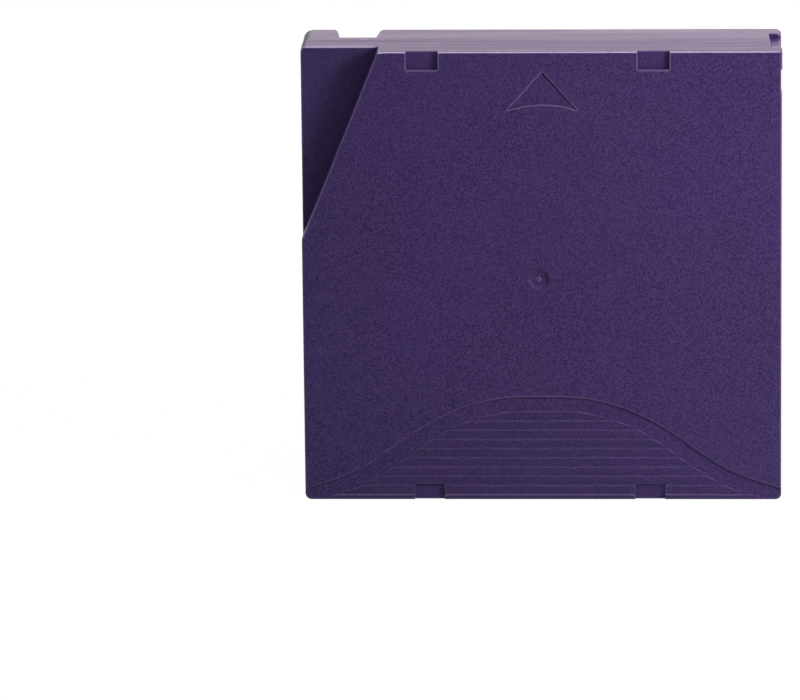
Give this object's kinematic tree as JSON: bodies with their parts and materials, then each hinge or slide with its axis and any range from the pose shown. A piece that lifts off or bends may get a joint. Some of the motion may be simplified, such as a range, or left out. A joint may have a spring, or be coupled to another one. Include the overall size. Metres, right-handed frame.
{
  "type": "data tape cartridge",
  "caption": "Half-inch single-reel data tape cartridge: two-part moulded shell, sliding door, leader pin, lockable reel with drive gear, write-protect slider.",
  "frame": {"origin": "centre of the trailing edge face, on the surface the cartridge stands on", "axes": "+Z the way the cartridge goes into a drive, -Y out of the marked face, +Y out of the hub side, +X towards the sliding door"},
  "size_m": [0.1054, 0.0216, 0.102],
  "materials": {
    "shell_purple": "fine moulded grain, semi-matte",
    "door_purple": "moulded, semi-matte",
    "screw_steel": "zinc plated, darkened",
    "plate_steel": "stamped and deburred",
    "spring_steel": "drawn wire",
    "reel_white": "moulded, natural",
    "pad_white": "moulded, slippery",
    "tape_brown": "wound film edges",
    "brake_black": "moulded, slippery",
    "slider_red": "moulded",
    "chip_black": "moulded capsule"
  },
  "bodies": {
    "housing": {"upper_case": "shell_purple", "lower_case": "shell_purple", "case_screws": "screw_steel", "tape_lead": "tape_brown", "brake_spring": "spring_steel", "door_spring": "spring_steel", "leader_pin": "plate_steel", "pin_clip": "brake_black", "pin_spring": "spring_steel", "memory_chip": "chip_black"},
    "reel": {"reel_hub": "reel_white", "reel_upper_flange": "reel_white", "reel_plate": "plate_steel", "tape_pack": "tape_brown"},
    "brake": {"brake_button": "brake_black"},
    "pad": {"release_pad": "pad_white"},
    "sliding_door": {"door": "door_purple"},
    "switch": {"write_slider": "slider_red"}
  },
  "joints": [
    {"name": "reel_spin", "type": "hinge", "parent": "housing", "child": "reel", "pos_m": [-0.0007, 0, 0.0505], "axis": [0, 1, 0], "continuous": true},
    {"name": "brake_lift", "type": "slide", "parent": "housing", "child": "brake", "axis": [0, -1, 0], "range_m": [0, 0.0015], "stiffness_N_per_m": 900, "springref_m": -0.005, "deforming": ["brake_spring"]},
    {"name": "pad_push", "type": "slide", "parent": "reel", "child": "pad", "axis": [0, -1, 0], "range_m": [0, 0.0015]},
    {"name": "door_slide", "type": "slide", "parent": "housing", "child": "sliding_door", "axis": [0, 0, -1], "range_m": [0, 0.021], "stiffness_N_per_m": 30, "springref_m": -0.012, "deforming": ["door_spring"]},
    {"name": "switch_slide", "type": "slide", "parent": "housing", "child": "switch", "axis": [1, 0, 0], "range_m": [0, 0.0055]}
  ],
  "couplings": [
    {"joint": "pad_push", "follows": "brake_lift", "ratio": 1}
  ]
}
